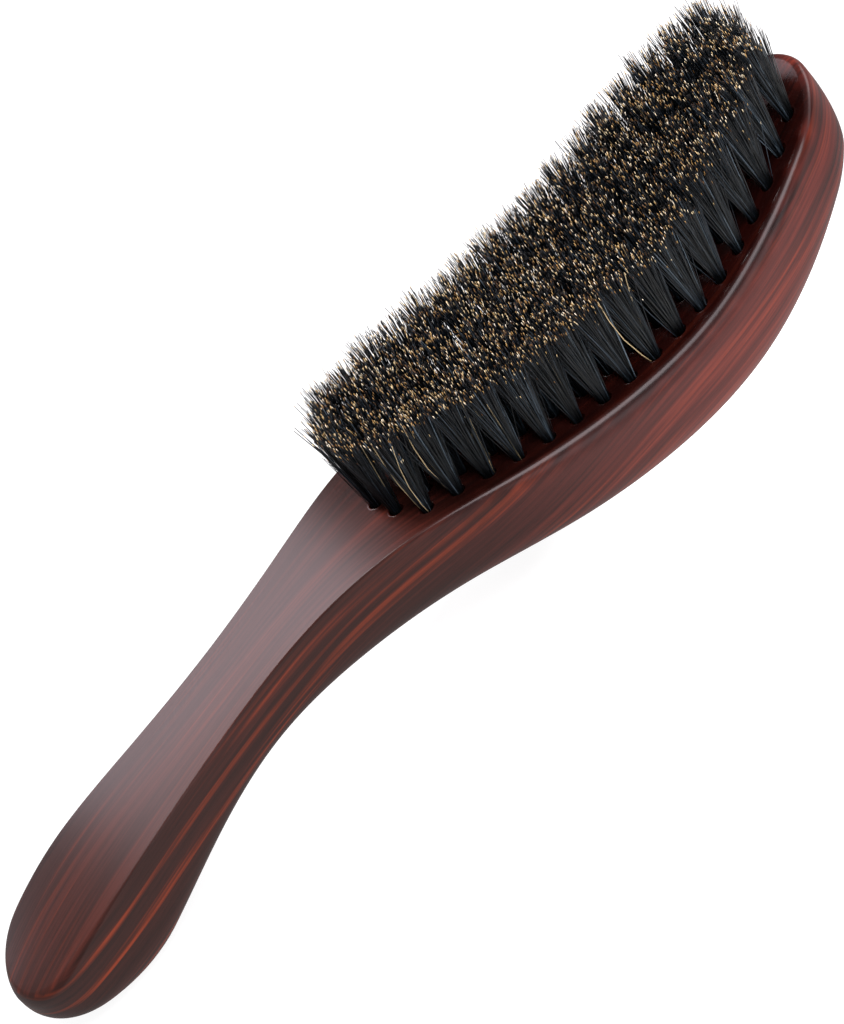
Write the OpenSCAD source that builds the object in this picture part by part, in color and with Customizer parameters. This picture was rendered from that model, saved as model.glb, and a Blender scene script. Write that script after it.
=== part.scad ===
// Beard brush: a one-piece wooden handle and head with a curved bristle face, tufts of
// boar bristle folded into blind holes, and a flat wire anchor holding each tuft.
// Millimetres. +X runs from the handle end to the head tip, +Y across, +Z out of the
// bristle face. The brush lies on its back with the lowest points of the back at z = 0.

/* [Body] */
// Whole length, handle end to head tip
body_l = 230; // [210:1:250]
// Width of the head at its widest
head_w = 51.6; // [47:0.2:56]
// Width of the handle bulge near its end
grip_w = 27.4; // [25:0.2:31]
// Thickness of the head behind the bristles
head_t = 21.9; // [20:0.1:25]
// How deep the wave of the bristle face is, 1 as made
wave = 1; // [0.85:0.01:1.1]
// Squareness of the cross-section, 2 round, higher squarer
squareness = 4; // [3:0.1:5]
// Rounding of the long edge between the face and the sides
edge_r = 1.1; // [0.6:0.1:2]

/* [Bristles] */
// Free length of a tuft out of the bristle face
bristle_l = 19.7; // [14:0.1:24]
// Width of a tuft across its tips
tuft_tip_d = 5.8; // [4:0.1:6]
// Lean of every tuft towards the head tip, degrees
lean = 7; // [3:0.5:9]
// Distance of the outer tufts from the edge of the face
inset = 5.9; // [5.4:0.1:7]
// Distance between neighbouring tufts across a row
tuft_pitch = 6.6; // [6.4:0.05:7.4]

/* [Holes and anchors] */
// Diameter of a tuft hole
hole_d = 3; // [2.6:0.1:3.2]
// Depth of a tuft hole
hole_depth = 6.5; // [5.5:0.1:7]
// Thickness of the anchor wire
wire_t = 0.4; // [0.3:0.05:0.5]
// Height of the anchor wire
wire_h = 1.6; // [1.2:0.1:1.8]
// Length of one anchor, longer than the hole so that it bites
wire_l = 3.8; // [3.6:0.1:4.2]

/* [Colours] */
// Lacquered wood
wood_c = "#4a2420";
// Bristle
bristle_c = "#23252a";
// Anchor wire
wire_c = "#a9abae";

/* [Hidden] */

base_l = 230;            // length at which the profile values below were drawn
sx = body_l / base_l;
kw = head_w / 51.6;      // width scale of the head
kg = grip_w / 27.4;      // width scale of the handle
kt = head_t / 21.9;      // thickness scale
knot = 23;               // spacing of the profile values along the length

// profile values every tenth of the length, from one before the handle end to two past
// the head tip: half width, thickness, height of the bristle face and handle top
half_v = [for (i = [0:12]) (i < 5 ? kg : i < 6 ? (kg + kw) / 2 : kw)
          * [8, 12.5, 14.5, 12, 10, 11, 17, 23.5, 25, 26.5, 23, 12.5, 2][i]];
depth_v = kt * [6, 19, 23, 16.5, 13, 17.5, 21, 22, 22, 21.5, 21, 16.5, 7.5];
top_v = [for (z = [-2, 13.5, 21, 24.5, 27.5, 30.5, 31.5, 26, 21.5, 21.5, 27.5, 33.5, 37])
         21 + wave * (z - 21)];

butt_r = 13.5;           // length over which the handle end rounds off in plan
butt_p = 2.7;            // fullness of that rounding
tip_r = 14;              // the same for the head tip
tip_p = 2.4;
butt_dr = 30;            // length over which the handle end thins
butt_dk = 0.18;          // share of the thickness left at the handle end
butt_dp = 1.6;
tip_dr = 5.5;            // length over which the head tip thins
tip_dk = 0.15;

function clip(t) = min(1, max(0, t));
// smooth curve through evenly spaced profile values
function curve(v, x) =
  let (u = x / knot, i = max(0, min(9, floor(u))), t = u - i)
  (pow(1 - t, 3) * v[i] + (3 * pow(t, 3) - 6 * t * t + 4) * v[i + 1]
   + (3 * t + 3 * t * t - 3 * pow(t, 3) + 1) * v[i + 2] + pow(t, 3) * v[i + 3]) / 6;
// rounding of an end: 0 at the end, 1 from distance r on
function ending(x, r, p) = x >= r ? 1 : sqrt(clip(1 - pow(clip(1 - x / r), p)));
function half_at(x) = curve(half_v, x) * ending(x, butt_r, butt_p)
                      * ending(base_l - x, tip_r, tip_p);
function face_at(x) = curve(top_v, x);
function depth_at(x) = curve(depth_v, x)
  * (butt_dk + (1 - butt_dk) * ending(x, butt_dr, butt_dp))
  * (tip_dk + (1 - tip_dk) * ending(base_l - x, tip_dr, 2));

ring_n = 24;             // facets of the section between its two rounded edges
butt_n = 9;              // stations over the rounded handle end
mid_n = 60;              // stations between the ends
tip_n = 10;              // stations over the rounded head tip
end_gap = 0.06;          // the first and last rings stand this far in from the ends
stations = concat(
  [for (i = [0:butt_n - 1]) end_gap + (butt_r - end_gap) * (1 - cos(90 * i / butt_n))],
  [for (i = [0:mid_n - 1]) butt_r + (base_l - butt_r - tip_r) * i / mid_n],
  [for (i = [0:tip_n]) base_l - end_gap - (tip_r - end_gap) * (1 - sin(90 * i / tip_n))]);
floor_z = min([for (x = stations) face_at(x) - depth_at(x)]);   // the back rests here
function top_at(x) = face_at(x) - floor_z;

function place(x) = (x - base_l / 2) * sx;
function signed(c) = sign(c) * pow(abs(c), 2 / squareness);
function edge_at(x) = min(edge_r, 0.45 * half_at(x), 0.3 * depth_at(x));
// section at x as [half width, drop below the face]: rounded edge, side, back, and back up
function ring(x) = let (w = half_at(x), d = depth_at(x), e = edge_at(x),
                        a0 = asin(pow(e / d, squareness / 2)))
  concat([[w - e, 0], [w - 0.29 * e, 0.29 * e]],
         [for (j = [0:ring_n]) let (a = a0 + (180 - 2 * a0) * j / ring_n)
          [w * signed(cos(a)), d * pow(sin(a), 2 / squareness)]],
         [[0.29 * e - w, 0.29 * e], [e - w, 0]]);
ring_c = ring_n + 5;
body_pts = [for (x = stations) for (p = ring(x)) [place(x), p[0], top_at(x) - p[1]]];
last = len(stations) - 1;
body_faces = concat(
  [[for (j = [0:ring_c - 1]) j]],
  [[for (j = [ring_c - 1:-1:0]) last * ring_c + j]],
  [for (i = [0:last - 1]) let (a = i * ring_c, b = a + ring_c)
   [a, a + ring_c - 1, b + ring_c - 1, b]],
  [for (i = [0:last - 1], j = [0:ring_c - 2]) let (a = i * ring_c + j, b = a + ring_c)
   [a, b, b + 1]],
  [for (i = [0:last - 1], j = [0:ring_c - 2]) let (a = i * ring_c + j, b = a + ring_c)
   [a, b + 1, a + 1]]);

// tuft rows: the outer tufts follow the edge of the face, the rows bow in between
row_n = 17;
row_x0 = 119.1;          // outer tufts of the row nearest the handle
row_step = 6.3;
bow_first = -5.2;        // how far the middle of that row stands off towards the handle
bow_last = 1.8;          // and of the last row, towards the tip
function row_x(k) = row_x0 + row_step * k;
function row_bow(k) = bow_first + (bow_last - bow_first) * k / (row_n - 1);
function row_half(k) = let (x = row_x(k), s = half_at(x + 0.5) - half_at(x - 0.5))
                       half_at(x) - inset * sqrt(1 + s * s);
function row_count(k) = 1 + round(2 * row_half(k) / tuft_pitch);
function row_points(k) = let (n = row_count(k), h = row_half(k))
  [for (i = [0:n - 1]) let (y = h * (2 * i / (n - 1) - 1),
                            x = row_x(k) + row_bow(k) * (1 - y * y / h / h))
   [place(x), y, top_at(x)]];

root_r = hole_d / 2 - 0.04;   // tuft root, a hair inside its hole
collar = 0.9;                 // straight part of a tuft above the face
wire_up = 0.5;                // fold of bristle under the anchor

module at_row(k) for (p = row_points(k)) translate(p) rotate([0, lean, 0]) children();

// flat anchor across the hole, its ends cut slanting so that they bite into the wood
module anchor()
  translate([0, 0, wire_up - hole_depth]) rotate([90, 0, 90])
  linear_extrude(height = wire_t, center = true)
  polygon([[-wire_l / 2 + 0.35, 0], [wire_l / 2 - 0.35, 0], [wire_l / 2, 0.35],
           [wire_l / 2, wire_h], [-wire_l / 2, wire_h], [-wire_l / 2, 0.35]]);

module hole() translate([0, 0, -hole_depth]) cylinder(r = hole_d / 2, h = hole_depth + 1.6,
                                                      $fn = 32);

module tuft() difference() {
  union() {
    translate([0, 0, -hole_depth]) cylinder(r = root_r, h = hole_depth + collar, $fn = 32);
    translate([0, 0, collar])
      cylinder(r1 = root_r, r2 = tuft_tip_d / 2, h = bristle_l - collar, $fn = 32);
  }
  anchor();
}

module tuft_row(k) color(bristle_c) at_row(k) tuft();
module anchor_row(k) color(wire_c) at_row(k) anchor();

module wood_body() color(wood_c) difference() {
  polyhedron(points = body_pts, faces = body_faces, convexity = 6);
  for (k = [0:row_n - 1]) at_row(k) { hole(); anchor(); }
}

module tuft_row_01() tuft_row(0);
module tuft_row_02() tuft_row(1);
module tuft_row_03() tuft_row(2);
module tuft_row_04() tuft_row(3);
module tuft_row_05() tuft_row(4);
module tuft_row_06() tuft_row(5);
module tuft_row_07() tuft_row(6);
module tuft_row_08() tuft_row(7);
module tuft_row_09() tuft_row(8);
module tuft_row_10() tuft_row(9);
module tuft_row_11() tuft_row(10);
module tuft_row_12() tuft_row(11);
module tuft_row_13() tuft_row(12);
module tuft_row_14() tuft_row(13);
module tuft_row_15() tuft_row(14);
module tuft_row_16() tuft_row(15);
module tuft_row_17() tuft_row(16);

module anchor_row_01() anchor_row(0);
module anchor_row_02() anchor_row(1);
module anchor_row_03() anchor_row(2);
module anchor_row_04() anchor_row(3);
module anchor_row_05() anchor_row(4);
module anchor_row_06() anchor_row(5);
module anchor_row_07() anchor_row(6);
module anchor_row_08() anchor_row(7);
module anchor_row_09() anchor_row(8);
module anchor_row_10() anchor_row(9);
module anchor_row_11() anchor_row(10);
module anchor_row_12() anchor_row(11);
module anchor_row_13() anchor_row(12);
module anchor_row_14() anchor_row(13);
module anchor_row_15() anchor_row(14);
module anchor_row_16() anchor_row(15);
module anchor_row_17() anchor_row(16);

wood_body();
tuft_row_01();
tuft_row_02();
tuft_row_03();
tuft_row_04();
tuft_row_05();
tuft_row_06();
tuft_row_07();
tuft_row_08();
tuft_row_09();
tuft_row_10();
tuft_row_11();
tuft_row_12();
tuft_row_13();
tuft_row_14();
tuft_row_15();
tuft_row_16();
tuft_row_17();
anchor_row_01();
anchor_row_02();
anchor_row_03();
anchor_row_04();
anchor_row_05();
anchor_row_06();
anchor_row_07();
anchor_row_08();
anchor_row_09();
anchor_row_10();
anchor_row_11();
anchor_row_12();
anchor_row_13();
anchor_row_14();
anchor_row_15();
anchor_row_16();
anchor_row_17();
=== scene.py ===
"""Beard brush: lacquered hardwood handle and head with staple-set boar bristle.

+X runs from the handle end to the head tip, +Y across, +Z out of the bristle face; the
brush lies on its back on the floor at z = 0. Shapes are worked out in millimetres with x
counted from the handle end, and go into Blender in metres about the middle of the length.
"""
import math

import bmesh
import bpy
import numpy as np
from mathutils import Matrix, Vector
from mathutils.geometry import delaunay_2d_cdt


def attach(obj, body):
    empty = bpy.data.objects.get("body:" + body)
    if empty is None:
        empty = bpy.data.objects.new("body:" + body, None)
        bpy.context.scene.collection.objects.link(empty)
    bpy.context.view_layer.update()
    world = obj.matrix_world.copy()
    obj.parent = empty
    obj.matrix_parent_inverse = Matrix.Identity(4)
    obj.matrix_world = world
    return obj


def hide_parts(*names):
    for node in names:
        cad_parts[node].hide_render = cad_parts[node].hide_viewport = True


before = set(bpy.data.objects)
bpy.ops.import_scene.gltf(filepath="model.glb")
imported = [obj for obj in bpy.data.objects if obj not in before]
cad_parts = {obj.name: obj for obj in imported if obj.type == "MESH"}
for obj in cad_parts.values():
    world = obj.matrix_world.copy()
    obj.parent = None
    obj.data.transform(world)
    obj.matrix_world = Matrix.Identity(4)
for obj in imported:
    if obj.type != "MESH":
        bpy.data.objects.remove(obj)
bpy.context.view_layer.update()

MM = 0.001

# ---------------------------------------------------------------- shape of the brush
LENGTH = 230.0
KNOT = 23.0              # the profile values stand a tenth of the length apart
BUTT_ROUND = 13.5        # length over which the width rounds off at the handle's end
TIP_ROUND = 14           # and at the head tip
HALF_WIDTH = np.array([8, 12.5, 14.5, 12, 10, 11, 17, 23.5, 25, 26.5, 23, 12.5, 2])
THICKNESS = np.array([6, 19, 23, 16.5, 13, 17.5, 21, 22, 22, 21.5, 21, 16.5, 7.5])
FACE_HEIGHT = np.array([-2, 13.5, 21, 24.5, 27.5, 30.5, 31.5, 26, 21.5, 21.5, 27.5, 33.5, 37])
SQUARENESS = 4.0
EDGE_R = 0.5             # rounding of the long edge between face and side, on the handle
HEAD_EDGE_R = 2.6        # on the head
HEAD_DROP = 3.2          # so much further down the side than inward, along the head
TIP_EDGE_R = 1.9         # at its tip
BUTT_EDGE_R = 1.8        # and at the handle's end
CROWN = 0.4              # the handle top's sides lie this much lower at its end
ROWS = 17
FIRST_ROW = 119.1        # place of the first row's outer tufts
ROW_PITCH = 6.3          # from each row's outer tufts to the next row's
TUFT_PITCH = 6.6         # about so far from tuft to tuft in a row
TUFT_INSET = 5.9         # the outer tufts stand this far inside the edge
FIRST_BOW = -5.2         # the first row's middle stands this much nearer the tip
BOW_GAIN = 7.0           # and the last row's so much more
HOLE_R = 1.5
HOLE_DEPTH = 6.5
BRISTLE = 19.7           # free length of a tuft
LEAN = math.radians(7)   # every tuft leans this much towards the head tip
AXIS = np.array([math.sin(LEAN), 0.0, math.cos(LEAN)])
ACROSS = np.array([math.cos(LEAN), 0.0, -math.sin(LEAN)])
WIDTHWISE = np.array([0.0, 1.0, 0.0])
# where in the log the blank was sawn: shifts the streaks of the face and of the sides
FACE_CUT, SIDE_CUT = 11.6, 0.4
TABLE_HALF = 3000.0      # half the side of the table
TABLE_GAP = 0.05         # it lies this much lower, so that the surfaces don't meet


def curve(values, x):
    """Uniform cubic B-spline drawn by the profile values: four neighbours, each weighted
    by its cubic blending function of the place between two knots."""
    u = np.clip(np.asarray(x, float) / KNOT, 0, 10)
    i = np.minimum(u.astype(int), 9)
    t = u - i
    return ((1 - t) ** 3 * values[i] + (3 * t ** 3 - 6 * t ** 2 + 4) * values[i + 1]
            + (3 * t + 3 * t ** 2 - 3 * t ** 3 + 1) * values[i + 2]
            + t ** 3 * values[i + 3]) / 6


def ending(x, r, p):
    """Rounding of an end: the square root of 1 - (1 - x/r)^p, 1 from x = r on."""
    return np.sqrt(np.clip(1 - np.clip(1 - np.asarray(x, float) / r, 0, 1) ** p, 0, 1))


def half_at(x):
    """Half the width: its profile times the rounding of both ends."""
    return (curve(HALF_WIDTH, x) * ending(x, BUTT_ROUND, 2.7)
            * ending(LENGTH - x, TIP_ROUND, 2.4))


def thickness_at(x):
    """Thickness from face to back: its profile, thinned over the last 30 mm to 0.18 of it
    at the handle's end and over the last 5.5 mm to 0.15 of it at the tip."""
    return (curve(THICKNESS, x) * (0.18 + 0.82 * ending(x, 30, 1.6))
            * (0.15 + 0.85 * ending(LENGTH - x, 5.5, 2)))


stations = np.linspace(0.06, LENGTH - 0.06, 4001)
LOWEST = float((curve(FACE_HEIGHT, stations) - thickness_at(stations)).min())


def face_at(x):
    """Height of the face's middle line over the floor that the back's lowest point is on."""
    return curve(FACE_HEIGHT, x) - LOWEST


def eased(x, start, end):
    """0 at start to 1 at end, with the smooth-step cubic between."""
    t = np.clip((np.asarray(x, float) - start) / (end - start), 0, 1)
    return t * t * (3 - 2 * t)


def crown_at(x):
    """How much lower the top's sides lie: all of CROWN up to 45 mm from the handle's end,
    eased out to nothing at 100 mm."""
    return CROWN * (1 - eased(x, 45, 100))


def top_at(x, y):
    """Height of the face: straight across the head, a shallow parabola across the handle."""
    return face_at(x) - crown_at(x) * (y / np.maximum(half_at(x), 0.5)) ** 2


def edge_at(x):
    """How far inward the edge rounding reaches: soft at the handle's end, crisp along the
    handle, widest on the head and narrower again round its tip."""
    return (EDGE_R + (BUTT_EDGE_R - EDGE_R) * (1 - eased(x, 4, 30))
            + (HEAD_EDGE_R - EDGE_R) * eased(x, 105, 150)
            - (HEAD_EDGE_R - TIP_EDGE_R) * eased(x, 200, 226))


def drop_at(x):
    """How far down the side the edge rounding reaches: as far as it reaches inward, and
    HEAD_DROP more along the head, where it is sanded to a tall ellipse."""
    return edge_at(x) + HEAD_DROP * (eased(x, 105, 150) - eased(x, 185, 222))


def tuft_feet(row):
    """Feet of one row's tufts on the face: the outer two stand the inset inside the edge,
    measured square to it, and the others are spread evenly between them on a parabola
    whose middle moves from the handle's side in the first row to the tip's in the last."""
    x0 = FIRST_ROW + ROW_PITCH * row
    bow = FIRST_BOW + BOW_GAIN * row / (ROWS - 1)
    slope = half_at(x0 + 0.5) - half_at(x0 - 0.5)
    h = half_at(x0) - TUFT_INSET * math.sqrt(1 + slope ** 2)
    n = 1 + round(2 * float(h) / TUFT_PITCH)
    y = np.linspace(-h, h, n)
    x = x0 + bow * (1 - (y / h) ** 2)
    return np.stack([x, y, face_at(x)], 1)


def metres(points):
    """Millimetres with x from the handle end, to metres about the middle."""
    return (np.asarray(points, float) - (LENGTH / 2, 0, 0)) * MM


def new_piece(name, points, faces):
    """A smooth mesh object at the origin from millimetre points and faces, which are lists
    or an array."""
    mesh = bpy.data.meshes.new(name)
    faces = faces.tolist() if isinstance(faces, np.ndarray) else faces
    mesh.from_pydata(metres(points).tolist(), [], faces)
    mesh.update()
    mesh.shade_smooth()
    piece = bpy.data.objects.new(name, mesh)
    bpy.context.scene.collection.objects.link(piece)
    return piece


def grid_faces(rows, cols, close_cols=False):
    """Quads of a rows x cols grid of points numbered row by row."""
    i, j = np.meshgrid(np.arange(rows - 1), np.arange(cols if close_cols else cols - 1),
                       indexing="ij")
    k = (j + 1) % cols
    a = i * cols
    return np.stack([a + j, a + cols + j, a + cols + k, a + k], -1).reshape(-1, 4)


# ---------------------------------------------------------------- camera, light, floor
def aim_camera():
    """The view from above the near edge, the brush running from lower left to upper
    right: a long lens 1.227 m from the point it aims at, turned by azimuth, elevation and
    roll."""
    az, el, roll = map(math.radians, (-5.1, 35.9, 43.2))
    back = Vector((math.sin(az) * math.cos(el), -math.cos(az) * math.cos(el), math.sin(el)))
    right = Vector((math.cos(az), math.sin(az), 0))
    up = back.cross(right)
    right, up = (right * math.cos(roll) - up * math.sin(roll),
                 right * math.sin(roll) + up * math.cos(roll))
    aim = Vector((0.004, 0, 0.0215))
    distance = 1.227
    data = bpy.data.cameras.new("camera")
    data.sensor_width = 36
    data.lens = 228
    data.clip_end = 20
    camera = bpy.data.objects.new("camera", data)
    bpy.context.scene.collection.objects.link(camera)
    turn = Matrix((right, up, back)).transposed().to_4x4()
    camera.matrix_world = Matrix.Translation(aim + back * distance) @ turn
    bpy.context.scene.camera = camera


def soft_light(name, place, aim, size, power, color=(1, 1, 1)):
    """A softbox or a white card: a glowing rectangle of a size in metres and a power in
    watts, turned to the point it aims at."""
    data = bpy.data.lights.new(name, "AREA")
    data.shape = "RECTANGLE"
    data.size, data.size_y = size
    data.energy = power
    data.color = color
    light = bpy.data.objects.new(name, data)
    light.location = place
    light.rotation_euler = (Vector(aim) - Vector(place)).to_track_quat("-Z", "Y").to_euler()
    bpy.context.scene.collection.objects.link(light)


def add_node(tree, kind, at=(0, 0), links=None, **settings):
    """One node: plain settings are its properties, names of inputs set their values, and
    links maps inputs to the sockets that feed them."""
    node = tree.nodes.new(kind)
    node.location = at
    for key, value in settings.items():
        setattr(node, key, value)
    for key, value in (links or {}).items():
        if isinstance(value, bpy.types.NodeSocket):
            tree.links.new(value, node.inputs[key])
        else:
            node.inputs[key].default_value = value
    return node


def linear(code, alpha=1.0):
    """An sRGB hex colour as linear RGBA."""
    c = np.array([int(code[i:i + 2], 16) for i in (1, 3, 5)]) / 255
    c = np.where(c <= 0.04045, c / 12.92, ((c + 0.055) / 1.055) ** 2.4)
    return (*c.tolist(), alpha)


def new_material(name):
    """An empty node material and its tree."""
    material = bpy.data.materials.new(name)
    material.use_nodes = True
    tree = material.node_tree
    tree.nodes.clear()
    return material, tree


def ramp(node, stops):
    """Sets a colour ramp's stops, each a place and a hex colour."""
    band = node.color_ramp
    while len(band.elements) > 1:
        band.elements.remove(band.elements[-1])
    band.elements[0].position = stops[0][0]
    band.elements[0].color = linear(stops[0][1])
    for place, code in stops[1:]:
        band.elements.new(place).color = linear(code)
    return node


aim_camera()
bpy.context.scene.view_settings.view_transform = "Standard"
world = bpy.data.worlds.new("studio")
world.use_nodes = True
walls = world.node_tree.nodes["Background"]
walls.inputs["Color"].default_value = (0.97, 0.98, 1, 1)
walls.inputs["Strength"].default_value = 0.45
bpy.context.scene.world = world
soft_light("far_softbox", (-0.11, 0.80, 0.57), (-0.04, 0, 0.03), (0.26, 0.45), 3.7,
           (1.0, 0.88, 0.96))
soft_light("left_card", (-0.38, 0.90, 0.24), (-0.09, 0, 0.02), (0.40, 0.30), 1.0,
           (0.80, 0.90, 1.0))
soft_light("back_key", (-0.10, 0.45, 0.88), (0.02, 0, 0.03), (0.21, 0.23), 7.6)
soft_light("edge_light", (0.24, -0.58, 0.80), (0.08, 0, 0.02), (0.50, 0.46), 9.5,
           (1.0, 0.92, 0.96))
soft_light("tip_card", (0.85, 0.30, 0.36), (0.10, 0, 0.03), (0.50, 0.34), 4.6,
           (1.0, 0.92, 0.94))
soft_light("right_card", (0.80, -0.12, 0.48), (0.08, 0, 0.02), (0.60, 0.40), 2.2,
           (1.0, 0.93, 0.97))
soft_light("front_card", (0.25, -0.95, 0.16), (0.08, -0.02, 0.02), (0.60, 0.30), 1.9,
           (1.0, 0.93, 0.97))


def light_table():
    """Opal acrylic product table lit from below: shadows stay faint, and the lamp under it
    makes it brightest in front of the head and fades out 90 mm from there."""
    material, tree = new_material("lit_opal_table")
    where = add_node(tree, "ShaderNodeTexCoord", (-900, 0)).outputs["Object"]
    lamp = add_node(tree, "ShaderNodeMapping", (-700, 0), {
        "Vector": where, "Location": (-0.080, 0.062, 0)})
    away = add_node(tree, "ShaderNodeVectorMath", (-500, 0), {0: lamp.outputs[0]},
                   operation="LENGTH")
    glow = add_node(tree, "ShaderNodeMapRange", (-300, 0), {
        "Value": away.outputs["Value"], "From Min": 0.02, "From Max": 0.09,
        "To Min": 2.4, "To Max": 0.92}, interpolation_type="SMOOTHSTEP")
    out = add_node(tree, "ShaderNodeOutputMaterial", (300, 0))
    shader = add_node(tree, "ShaderNodeBsdfPrincipled", links={
        "Base Color": linear("#707070"), "Roughness": 0.9, "Specular IOR Level": 0.0,
        "Emission Color": (1, 1, 1, 1), "Emission Strength": glow.outputs[0]})
    tree.links.new(shader.outputs[0], out.inputs[0])
    return material


table = new_piece("table", [(-TABLE_HALF, -TABLE_HALF, -TABLE_GAP),
                            (TABLE_HALF, -TABLE_HALF, -TABLE_GAP),
                            (TABLE_HALF, TABLE_HALF, -TABLE_GAP),
                            (-TABLE_HALF, TABLE_HALF, -TABLE_GAP)], [(0, 1, 2, 3)])
table.data.materials.append(light_table())


# ---------------------------------------------------------------- finishes
def lacquered_wood():
    """Dark streaked hardwood, sawn lengthwise and sprayed with clear lacquer: brown wood
    with thin straight red-orange streaks that run through the solid and so cut the curved
    sides at a slant, seen under a smooth satin-gloss coat."""
    material, tree = new_material("lacquered_streaked_hardwood")
    where = add_node(tree, "ShaderNodeAttribute", (-2100, 0), attribute_name="grain",
                     attribute_type="GEOMETRY").outputs["Vector"]
    # the grain climbs 6.5 degrees towards the tip and wanders 1.5 mm over 90 mm
    grain = add_node(tree, "ShaderNodeMapping", (-1900, 0), {
        "Vector": where, "Rotation": (0, math.radians(6.5), 0)})
    slow = add_node(tree, "ShaderNodeTexNoise", (-1700, 200), {
        "Vector": grain.outputs[0], "Scale": 11.0, "Detail": 1.0})
    drift = add_node(tree, "ShaderNodeVectorMath", (-1500, 200), {
        0: slow.outputs["Color"], 1: (0, 0.006, 0.006)}, operation="MULTIPLY")
    fibre = add_node(tree, "ShaderNodeVectorMath", (-1300, 0), {
        0: grain.outputs[0], 1: drift.outputs[0]}, operation="ADD").outputs[0]

    # layers lie flat under the face and back and stand upright behind the sides
    facing = add_node(tree, "ShaderNodeSeparateXYZ", (-1300, -500), {
        "Vector": add_node(tree, "ShaderNodeTexCoord", (-1500, -500)).outputs["Normal"]})
    level = add_node(tree, "ShaderNodeMath", (-1100, -500), {0: facing.outputs[2]},
                     operation="ABSOLUTE")
    upper = add_node(tree, "ShaderNodeMapRange", (-900, -500), {
        "Value": level.outputs[0], "From Min": 0.6, "From Max": 0.8}).outputs[0]

    def layers(at, length, width, detail, rough):
        """Noise drawn out along the grain, its layers met across the face or down the
        side, the two faded into each other where the surface turns."""
        ways = []
        for step, scale in ((0, (length, width, 14)), (160, (length, 14, width))):
            place = add_node(tree, "ShaderNodeMapping", (-1100, at - step), {
                "Vector": fibre, "Scale": scale, "Location": (0, FACE_CUT, SIDE_CUT)})
            ways.append(add_node(tree, "ShaderNodeTexNoise", (-900, at - step), {
                "Vector": place.outputs[0], "Scale": 1.0, "Detail": detail,
                "Roughness": rough}).outputs[0])
        return add_node(tree, "ShaderNodeMix", (-750, at), {
            "Factor": upper, "A": ways[1], "B": ways[0]}, data_type="FLOAT").outputs[0]

    bands = layers(900, 5, 160, 2.0, 0.5)          # 6 mm wide, 200 mm long
    lines = layers(550, 13, 620, 2.0, 0.5)         # 1.6 mm wide, 80 mm long
    threads = layers(200, 30, 1100, 2.0, 0.5)      # 0.9 mm wide, 33 mm long
    pores = layers(-150, 260, 4200, 1.0, 0.5)      # 0.24 mm wide, 4 mm long
    both = add_node(tree, "ShaderNodeMath", (-650, 400), {
        0: bands, 1: threads}, operation="ADD")
    spread = add_node(tree, "ShaderNodeMapRange", (-550, 400), {
        "Value": both.outputs[0], "From Min": 0.65, "From Max": 1.35})
    brown = ramp(add_node(tree, "ShaderNodeValToRGB", (-450, 400),
                          {"Fac": spread.outputs[0]}),
                 [(0.0, "#241310"), (0.5, "#301814"), (1.0, "#431f19")])
    red = ramp(add_node(tree, "ShaderNodeValToRGB", (-450, 650),
                        {"Fac": spread.outputs[0]}),
               [(0.0, "#260e0c"), (0.5, "#481914"), (1.0, "#6c2a1e")])
    # the heartwood reddens from the neck into the head
    length = add_node(tree, "ShaderNodeSeparateXYZ", (-700, 800), {"Vector": where})
    head = add_node(tree, "ShaderNodeMapRange", (-500, 850), {
        "Value": length.outputs[0], "From Min": -0.01, "From Max": 0.06})
    wood = add_node(tree, "ShaderNodeMix", (-150, 550), {
        "Factor": head.outputs[0], "A": brown.outputs[0], "B": red.outputs[0]},
        data_type="RGBA")
    # red streaks: the crests of the lines, broken up by the threads, weaker on the face and
    # strongest at the handle's end
    veins = add_node(tree, "ShaderNodeMapRange", (-650, 150), {
        "Value": lines, "From Min": 0.54, "From Max": 0.74}, interpolation_type="SMOOTHSTEP")
    broken = add_node(tree, "ShaderNodeMapRange", (-650, -50), {
        "Value": threads, "From Min": 0.3, "From Max": 0.65, "To Min": 0.2, "To Max": 0.68})
    calm = add_node(tree, "ShaderNodeMapRange", (-650, -200), {
        "Value": upper, "To Min": 1.0, "To Max": 0.22})
    broken = add_node(tree, "ShaderNodeMath", (-500, -50), {
        0: broken.outputs[0], 1: calm.outputs[0]}, operation="MULTIPLY")
    amount = add_node(tree, "ShaderNodeMath", (-400, 100), {
        0: veins.outputs[0], 1: broken.outputs[0]}, operation="MULTIPLY")
    soften = add_node(tree, "ShaderNodeMapRange", (-400, -60), {
        "Value": length.outputs[0], "From Min": -0.09, "From Max": -0.03,
        "To Min": 1.25, "To Max": 0.65})
    amount = add_node(tree, "ShaderNodeMath", (-300, 60), {
        0: amount.outputs[0], 1: soften.outputs[0]}, operation="MULTIPLY")
    streaked = add_node(tree, "ShaderNodeMix", (-200, 250), {
        "Factor": amount.outputs[0], "A": wood.outputs[2], "B": linear("#90381c")},
        data_type="RGBA")
    # open pores darken the wood in short dashes
    dashes = add_node(tree, "ShaderNodeMapRange", (-650, -300), {
        "Value": pores, "From Min": 0.30, "From Max": 0.42, "To Min": 0.82, "To Max": 1.0})
    tint = add_node(tree, "ShaderNodeMix", (0, 150), {
        "Factor": 1.0, "A": streaked.outputs[2], "B": dashes.outputs[0]},
        data_type="RGBA", blend_type="MULTIPLY")
    # painted shade: the face darkened among and beside the tufts, where they shade it
    painted_shade_node = add_node(tree, "ShaderNodeAttribute", (0, 400), attribute_name="painted_tuft_shade",
                     attribute_type="GEOMETRY")
    depth = add_node(tree, "ShaderNodeMapRange", (150, 400), {
        "Value": painted_shade_node.outputs["Fac"], "To Min": 1.0, "To Max": 0.2})
    tint = add_node(tree, "ShaderNodeMix", (150, 150), {
        "Factor": 1.0, "A": tint.outputs[2], "B": depth.outputs[0]},
        data_type="RGBA", blend_type="MULTIPLY")
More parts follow.
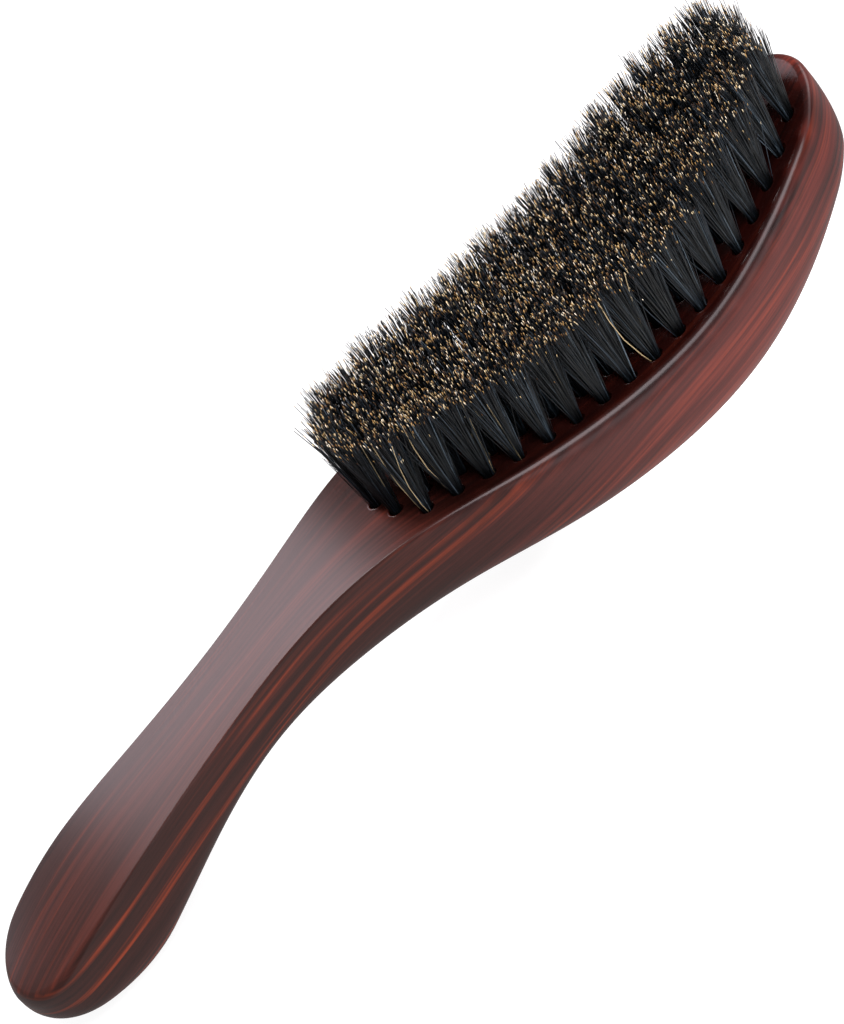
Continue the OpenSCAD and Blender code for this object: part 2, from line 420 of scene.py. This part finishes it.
    # the lacquer lies almost level over the fibres. An IOR above the usual 1.5 with a low
    # weight keeps its sheen even, where it would turn to haze along the curved sides
    bump = add_node(tree, "ShaderNodeBump", (0, -250), {
        "Height": threads, "Strength": 0.04, "Distance": 0.0002})
    shader = add_node(tree, "ShaderNodeBsdfPrincipled", (250, 0), {
        "Base Color": tint.outputs[2], "Normal": bump.outputs[0], "Roughness": 0.5,
        "Specular IOR Level": 0.0, "Coat Weight": 0.2, "Coat Roughness": 0.27,
        "Coat IOR": 1.8})
    out = add_node(tree, "ShaderNodeOutputMaterial", (550, 0))
    tree.links.new(shader.outputs[0], out.inputs[0])
    return material


def boar_bristle():
    """Black boar bristle, boiled and straightened: a smooth horny shaft, blue-black with
    a soft sheen, split and bleached tan over the last millimetre."""
    material, tree = new_material("black_boar_bristle")
    hair = add_node(tree, "ShaderNodeAttribute", (-900, 100), attribute_name="bristle",
                    attribute_type="GEOMETRY")
    parts = add_node(tree, "ShaderNodeSeparateColor", (-700, 100),
                     {"Color": hair.outputs["Color"]})
    # red: 0 root to 1 tip, green: one number per bristle, blue: blond share
    shaft = ramp(add_node(tree, "ShaderNodeValToRGB", (-450, 300),
                          {"Fac": parts.outputs[1]}),
                 [(0.0, "#030405"), (0.4, "#080a0c"), (0.65, "#12171c"), (0.86, "#2b353e"),
                  (1.0, "#697883")])
    # green steps through the bristles in an order of its own for the tips
    order = add_node(tree, "ShaderNodeMath", (-700, -60), {0: parts.outputs[1], 1: 7.0},
                     operation="MULTIPLY")
    order = add_node(tree, "ShaderNodeMath", (-600, -60), {0: order.outputs[0]},
                     operation="FRACT")
    tip = ramp(add_node(tree, "ShaderNodeValToRGB", (-450, 50), {"Fac": order.outputs[0]}),
               [(0.0, "#0a0a0b"), (0.52, "#15120f"), (0.62, "#4a3018"), (0.72, "#98703e"),
                (0.82, "#c29e60"), (0.91, "#ecd8a8"), (1.0, "#fff6e0")])
    bleach = add_node(tree, "ShaderNodeMapRange", (-450, -200), {
        "Value": parts.outputs[0], "From Min": 0.965, "From Max": 0.99})
    worn = add_node(tree, "ShaderNodeMix", (-150, 150), {
        "Factor": bleach.outputs[0], "A": shaft.outputs[0], "B": tip.outputs[0]},
        data_type="RGBA")
    color = add_node(tree, "ShaderNodeMix", (50, 50), {
        "Factor": parts.outputs[2], "A": worn.outputs[2], "B": linear("#b8a47c")},
        data_type="RGBA")
    shader = add_node(tree, "ShaderNodeBsdfPrincipled", (300, 0), {
        "Base Color": color.outputs[2], "Roughness": 0.33, "IOR": 1.55,
        "Specular IOR Level": 0.25})
    out = add_node(tree, "ShaderNodeOutputMaterial", (600, 0))
    tree.links.new(shader.outputs[0], out.inputs[0])
    return material


def anchor_wire():
    """Flat galvanised steel wire, rolled and cropped: dull grey with fine rolling lines
    along it and a faint mottled bloom of zinc."""
    material, tree = new_material("galvanised_flat_wire")
    where = add_node(tree, "ShaderNodeTexCoord", (-900, 0)).outputs["Object"]
    # rolling lines 0.1 mm apart and 3 mm long, along the anchor, which lies across the brush
    lines = add_node(tree, "ShaderNodeMapping", (-700, 0), {
        "Vector": where, "Scale": (4000, 300, 9000)})
    noise = add_node(tree, "ShaderNodeTexNoise", (-500, 0), {
        "Vector": lines.outputs[0], "Scale": 1.0, "Detail": 2.0})
    tone = ramp(add_node(tree, "ShaderNodeValToRGB", (-300, 100), {"Fac": noise.outputs[0]}),
                [(0.3, "#8c8f92"), (0.7, "#b4b7ba")])
    rough = add_node(tree, "ShaderNodeMapRange", (-300, -150), {
        "Value": noise.outputs[0], "To Min": 0.35, "To Max": 0.55})
    shader = add_node(tree, "ShaderNodeBsdfPrincipled", (0, 0), {
        "Base Color": tone.outputs[0], "Metallic": 1.0, "Roughness": rough.outputs[0]})
    out = add_node(tree, "ShaderNodeOutputMaterial", (300, 0))
    tree.links.new(shader.outputs[0], out.inputs[0])
    return material


# ---------------------------------------------------------------- wooden body
def body_stations():
    """Places along the length: even steps between the ends, and cosine steps, ever closer
    together, where the ends round off."""
    a = np.linspace(0, math.pi / 2, 27)
    return np.concatenate([BUTT_ROUND * (1 - np.cos(a[:-1])),
                           np.linspace(BUTT_ROUND, LENGTH - TIP_ROUND, 111)[:-1],
                           LENGTH - TIP_ROUND * (1 - np.sin(a))])


def edge_loop(x):
    """The outline of the face seen from above: along the near side to the tip and back
    along the far side, with its outward direction from neighbouring points."""
    h = half_at(x)
    loop = np.concatenate([np.stack([x, -h], 1), np.stack([x, h], 1)[-2:0:-1]])
    along = np.roll(loop, -1, 0) - np.roll(loop, 1, 0)
    along /= np.linalg.norm(along, axis=1)[:, None]
    return loop, np.stack([along[:, 1], -along[:, 0]], 1)


def rounded_edge(loop, out, steps=9):
    """A quarter ellipse carried round the outline: it leaves the face one rounding inside
    the outline, and meets the side one drop below the face."""
    a = np.linspace(0, math.pi / 2, steps)[:, None]
    r = edge_at(loop[None, :, 0])
    drop = drop_at(loop[None, :, 0])
    inward = r * (1 - np.sin(a))
    x = loop[None, :, 0] - inward * out[None, :, 0]
    y = loop[None, :, 1] - inward * out[None, :, 1]
    return np.stack([x, y, top_at(x, y) - drop * (1 - np.cos(a))], -1)


def side_and_back(x, around=56):
    """Superellipse section swept along the length, from the rounded edge on one side,
    under the back, to the rounded edge on the other."""
    h = half_at(x)[:, None]
    top = top_at(x, half_at(x))[:, None]
    deep = thickness_at(x)[:, None] - face_at(x)[:, None] + top
    start = np.arcsin((drop_at(x)[:, None] / deep) ** (SQUARENESS / 2))
    a = start + (math.pi - 2 * start) * np.linspace(0, 1, around)[None, :]
    y = -h * np.sign(np.cos(a)) * np.abs(np.cos(a)) ** (2 / SQUARENESS)
    y[:, 0] = -h[:, 0]
    y[:, -1] = h[:, 0]
    z = top - deep * np.sin(a) ** (2 / SQUARENESS)
    return np.stack([np.broadcast_to(x[:, None], y.shape), y, z], -1)


def mouth_rings(feet, turns=18):
    """Rings of every hole: the foot, crest and inside of the lacquer bead round its lip,
    then the top and the bottom of its bore. Each ring point slides along the leaning axis
    of the hole until it meets the face."""
    a = np.linspace(0, 2 * math.pi, turns, endpoint=False)
    circle = np.cos(a)[:, None] * ACROSS + np.sin(a)[:, None] * WIDTHWISE
    rings = []
    for radius, up in ((HOLE_R + 0.45, 0), (HOLE_R + 0.3, 0.11), (HOLE_R + 0.1, 0.1),
                       (HOLE_R, -0.2)):
        ring = feet[:, None] + radius * circle
        for _ in range(3):
            gap = face_at(ring[..., 0]) - ring[..., 2]
            ring = ring + (gap / AXIS[2])[..., None] * AXIS
        rings.append(ring + (0, 0, up))
    return rings + [feet[:, None] - HOLE_DEPTH * AXIS + HOLE_R * circle]


def within(places, loop):
    """True for each place whose ray along x crosses the closed loop an odd number of
    times."""
    x, y = places[:, :1], places[:, 1:]
    ax, ay, bx, by = *loop.T, *np.roll(loop, -1, 0).T
    crossed = (ay > y) != (by > y)
    meets = ax + (y - ay) * (bx - ax) / np.where(by == ay, 1, by - ay)
    return (crossed & (x < meets)).sum(1) % 2 == 1


def face_plate(inner, lips):
    """The bristle face and handle top inside the rounded edge, with an opening for every
    hole: Delaunay triangles between the edge's inner line, the hole lips and a grid of
    points about 2 mm apart that keeps clear of both, laid on the curved face."""
    holes = lips.reshape(-1, 2)
    gx, gy = np.meshgrid(np.arange(1.2, LENGTH, 2.3), np.arange(-26, 27, 2.0), indexing="ij")
    grid = np.stack([gx.ravel(), gy.ravel()], 1)
    centres = lips.mean(1)
    grid = grid[np.abs(grid[:, 1]) < half_at(grid[:, 0]) - edge_at(grid[:, 0]) - 1.0]
    grid = grid[(grid[:, 0] > 3) & (grid[:, 0] < LENGTH - 3)]
    away = np.linalg.norm(grid[:, None] - centres[None], axis=2).min(1)
    grid = grid[away > HOLE_R + 0.9]
    points = np.concatenate([inner, holes, grid])
    n = len(inner)
    rim = np.stack([np.arange(n), (np.arange(n) + 1) % n], 1)
    k = lips.shape[1]
    lip = n + np.arange(len(holes)).reshape(-1, k)
    lip = np.stack([lip, np.roll(lip, -1, 1)], -1).reshape(-1, 2)
    flat, _, faces, _, _, _ = delaunay_2d_cdt(
        [Vector(p) for p in points.tolist()], np.concatenate([rim, lip]).tolist(), [],
        1, 1e-5, False)
    flat, faces = np.array(flat), np.array(faces)
    # a triangle between three points of one lip closes that hole
    hole = np.where((faces >= n) & (faces < n + len(holes)), (faces - n) // k, -1)
    in_hole = (hole[:, 0] >= 0) & (hole == hole[:, :1]).all(1)
    faces = faces[within(flat[faces].mean(1), inner) & ~in_hole]
    return np.concatenate([flat, top_at(flat[:, 0], flat[:, 1])[:, None]], 1), faces


def body_surface(feet):
    """Points and faces of the whole body, its parts not yet joined: face plate, rounded
    edge, side and back, the wall of every bore, and a fan of triangles on its bottom."""
    x = body_stations()
    loop, out = edge_loop(x)
    rounding = rounded_edge(loop, out)
    side = side_and_back(x)
    lips, *lower, bottom = mouth_rings(feet)
    plate, plate_faces = face_plate(rounding[0, :, :2], lips[..., :2])
    points, faces = [plate], plate_faces.tolist()
    total = len(plate)

    def add(block, block_faces):
        nonlocal total
        points.append(block.reshape(-1, 3))
        faces.extend((block_faces + total).tolist())
        total += block.size // 3

    add(rounding, grid_faces(*rounding.shape[:2], close_cols=True))
    add(side, grid_faces(*side.shape[:2]))
    turns = lips.shape[1]
    holes = np.stack([lips, *lower, bottom], 1)          # hole, ring, turn
    rings = holes.shape[1]
    wall = grid_faces(rings, turns, close_cols=True)
    add(holes, (wall + rings * turns * np.arange(len(feet))[:, None, None]).reshape(-1, 4))
    middle = feet - HOLE_DEPTH * AXIS
    fan = np.concatenate([bottom, middle[:, None]], 1)
    spokes = np.stack([np.arange(turns), np.full(turns, turns),
                       (np.arange(turns) + 1) % turns], 1)
    add(fan, (spokes[None] + (turns + 1) * np.arange(len(feet))[:, None, None]).reshape(-1, 3))
    return np.concatenate(points), faces


def true_face_normals(mesh, place):
    """Shading normals of the face from its slopes along and across, each a difference over
    0.1 mm. Everywhere else they stay the mean of the faces round a point."""
    normal = np.empty(len(mesh.vertices) * 3)
    mesh.vertex_normals.foreach_get("vector", normal)
    normal = normal.reshape(-1, 3)
    x, y, z = place.T
    on_face = np.abs(z - top_at(x, y)) < 0.01
    flat = np.stack([top_at(x - 0.05, y) - top_at(x + 0.05, y),
                     top_at(x, y - 0.05) - top_at(x, y + 0.05), np.full(len(z), 0.1)], 1)
    flat /= np.linalg.norm(flat, axis=1)[:, None]
    normal[on_face] = flat[on_face]
    mesh.normals_split_custom_set_from_vertices(normal.tolist())


def mark_wood(mesh, place, feet):
    """Two things that the finish reads from the mesh. "grain" is the place, with its
    distance from the middle line divided by the profile's width there, so that the grain
    follows the outline across the width and runs straight along the height. The other is
    painted shade, the tufts' shade on the face: 1 among the holes, fading out 2.5 to 6.5 mm
    from their walls and towards the neck."""
    grain = place - (LENGTH / 2, 0, 0)
    grain[:, 1] *= HALF_WIDTH[2] / curve(HALF_WIDTH, place[:, 0])
    layer = mesh.attributes.new("grain", "FLOAT_VECTOR", "POINT")
    layer.data.foreach_set("vector", (grain * MM).ravel())
    # painted shade of the tufts on the face, not a stain
    away = np.linalg.norm(place[:, None] - feet[None], axis=2).min(1)
    painted_tuft_shade = (1 - eased(away, HOLE_R + 2.5, HOLE_R + 6.5)) * eased(place[:, 0], 112, 126)
    layer = mesh.attributes.new("painted_tuft_shade", "FLOAT", "POINT")
    layer.data.foreach_set("value", painted_tuft_shade)


def make_body():
    """The one wooden piece: its surface with the seams merged, closed and turned outwards,
    then its shading normals, marks and finish."""
    feet = np.concatenate([tuft_feet(row) for row in range(ROWS)])
    body = new_piece("handle_and_head", *body_surface(feet))
    mesh = body.data
    work = bmesh.new()
    work.from_mesh(mesh)
    bmesh.ops.remove_doubles(work, verts=work.verts, dist=2e-6)
    bmesh.ops.recalc_face_normals(work, faces=work.faces)
    work.to_mesh(mesh)
    work.free()
    mesh.shade_smooth()
    place = np.empty(len(mesh.vertices) * 3)
    mesh.vertices.foreach_get("co", place)
    place = place.reshape(-1, 3) / MM + (LENGTH / 2, 0, 0)
    true_face_normals(mesh, place)
    mark_wood(mesh, place, feet)
    mesh.materials.append(lacquered_wood())
    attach(body, "root")
    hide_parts("wood_body")


# ---------------------------------------------------------------- bristles
PER_TUFT = 140
SIDES = 4                # of the tube that stands for one bristle
BURIED = 3.0             # a bristle starts this deep in its hole
# places along one bristle, the last two bounding its bleached tip
SHARES = np.array([0.0, 0.25, 0.5, 0.75, 0.94, 1.0])
LEVELS = len(SHARES)
BLOND_ROWS = (0, 1, 8)   # rows whose near tuft has a pair of sprung blond bristles


def bristle_paths(feet, rng):
    """Centre lines of all bristles of a row, as tuft x bristle x level x 3. Each starts
    inside its hole and fans out: its offset from the tuft's axis grows from its place in
    the hole to its place in the brush's top in a slightly bowed line, cut off near the
    trimmed height."""
    n = len(feet)
    shape = (n, PER_TUFT)
    # the place in the hole: even over its area, and fanned out to 3.2 to 4.6 mm at the top,
    # a little turned, and shifted for each bristle and for each tuft
    ring = np.sqrt(rng.uniform(0, 1, shape))
    turn = rng.uniform(0, 2 * math.pi, shape)
    root = (HOLE_R - 0.85) * ring[..., None] * np.stack([np.cos(turn), np.sin(turn)], -1)
    spread = rng.uniform(3.2, 4.6, shape) * ring
    turn = turn + rng.normal(0, 0.35, shape)
    tip = spread[..., None] * np.stack([np.cos(turn), np.sin(turn)], -1)
    tip = tip + rng.normal(0, 0.45, (*shape, 2)) + rng.normal(0, 0.35, (n, 1, 2))
    # one in eleven strays
    stray = rng.uniform(0, 1, shape) < 0.09
    tip = tip + stray[..., None] * rng.normal(0, 1.4, (*shape, 2))
    # trimmed to about half a millimetre, 0.8 mm lower round the outside, and one in four
    # up to 6.5 mm short
    length = BRISTLE + rng.normal(0, 0.4, shape) + rng.normal(0, 0.3, (n, 1)) - 0.8 * ring ** 3
    short = rng.uniform(0, 1, shape) < 0.25
    length = length - short * rng.uniform(0, 1, shape) ** 1.5 * 6.5
    bow = rng.normal(0, 0.35, (*shape, 2)) + stray[..., None] * rng.normal(0, 0.6, (*shape, 2))
    t = SHARES
    offset = (root[:, :, None] + (tip - root)[:, :, None] * (t ** 1.12)[None, None, :, None]
              + bow[:, :, None] * (t * (1 - t) * 2)[None, None, :, None])
    along = -BURIED + (length[..., None] + BURIED) * t[None, None]
    return (feet[:, None, None] + along[..., None] * AXIS
            + offset[..., :1] * ACROSS + offset[..., 1:] * WIDTHWISE)


def spring_out(path, rng):
    """Bends a few bristles of the near tuft outwards: the offset grows with the square of
    the height, and swings back towards the handle along a half sine."""
    t = SHARES[None, :, None]
    path += t ** 2 * (-WIDTHWISE * rng.uniform(2.0, 4.0, (len(path), 1, 1)))
    path += np.sin(math.pi * t) * np.array([-1.0, -0.4, 0.0]) * rng.uniform(
        0.6, 1.6, (len(path), 1, 1))


def bristle_mesh(name, path, thick, tone, blond):
    """Square tubes round the centre lines, tapering to the tip, closed at both ends, with
    a colour attribute: share of the length, tone of the bristle, blondness."""
    path = path.reshape(-1, LEVELS, 3)
    count = len(path)
    taper = (1 - 0.35 * SHARES ** 6)[None, :, None, None]
    turn = np.arange(SIDES) * 2 * math.pi / SIDES
    ring = np.cos(turn)[:, None] * ACROSS + np.sin(turn)[:, None] * WIDTHWISE
    tube = path[:, :, None] + thick.reshape(-1, 1, 1, 1) * taper * ring[None, None]
    sides = grid_faces(LEVELS, SIDES, close_cols=True)[:, ::-1]
    caps = np.array([np.arange(SIDES)[::-1], (LEVELS - 1) * SIDES + np.arange(SIDES)])
    faces = np.concatenate([sides, caps])
    faces = faces[None] + LEVELS * SIDES * np.arange(count)[:, None, None]
    piece = new_piece(name, tube.reshape(-1, 3), faces.reshape(-1, 4))
    color = np.ones((count, LEVELS, SIDES, 4))
    color[..., 0] = SHARES[None, :, None]
    color[..., 1] = tone.reshape(-1, 1, 1)
    color[..., 2] = blond.reshape(-1, 1, 1)
    layer = piece.data.color_attributes.new("bristle", "FLOAT_COLOR", "POINT")
    layer.data.foreach_set("color", color.ravel())
    return piece


def make_bristles():
    """One piece for each row: its bristles' paths, thicknesses in mm and tones are drawn
    in turn from one seeded source, and four in a thousand come out blond."""
    finish = boar_bristle()
    rng = np.random.default_rng(307)
    for row in range(ROWS):
        path = bristle_paths(tuft_feet(row), rng)
        shape = path.shape[:2]
        thick = rng.uniform(0.055, 0.11, shape)
        tone = rng.beta(1.6, 1.8, shape)
        blond = (rng.uniform(0, 1, shape) < 0.004) * rng.uniform(0.6, 1, shape)
        if row in BLOND_ROWS:
            spring_out(path[0, :2], rng)
            blond[0, :2] = 0.9
        piece = bristle_mesh("bristles_%02d" % (row + 1), path, thick, tone, blond)
        piece.data.materials.append(finish)
        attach(piece, "root")
        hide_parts("tuft_row_%02d" % (row + 1))


make_body()
make_bristles()
wire = anchor_wire()
for name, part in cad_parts.items():
    if name.startswith("anchor_row"):
        part.data.materials.clear()
        part.data.materials.append(wire)
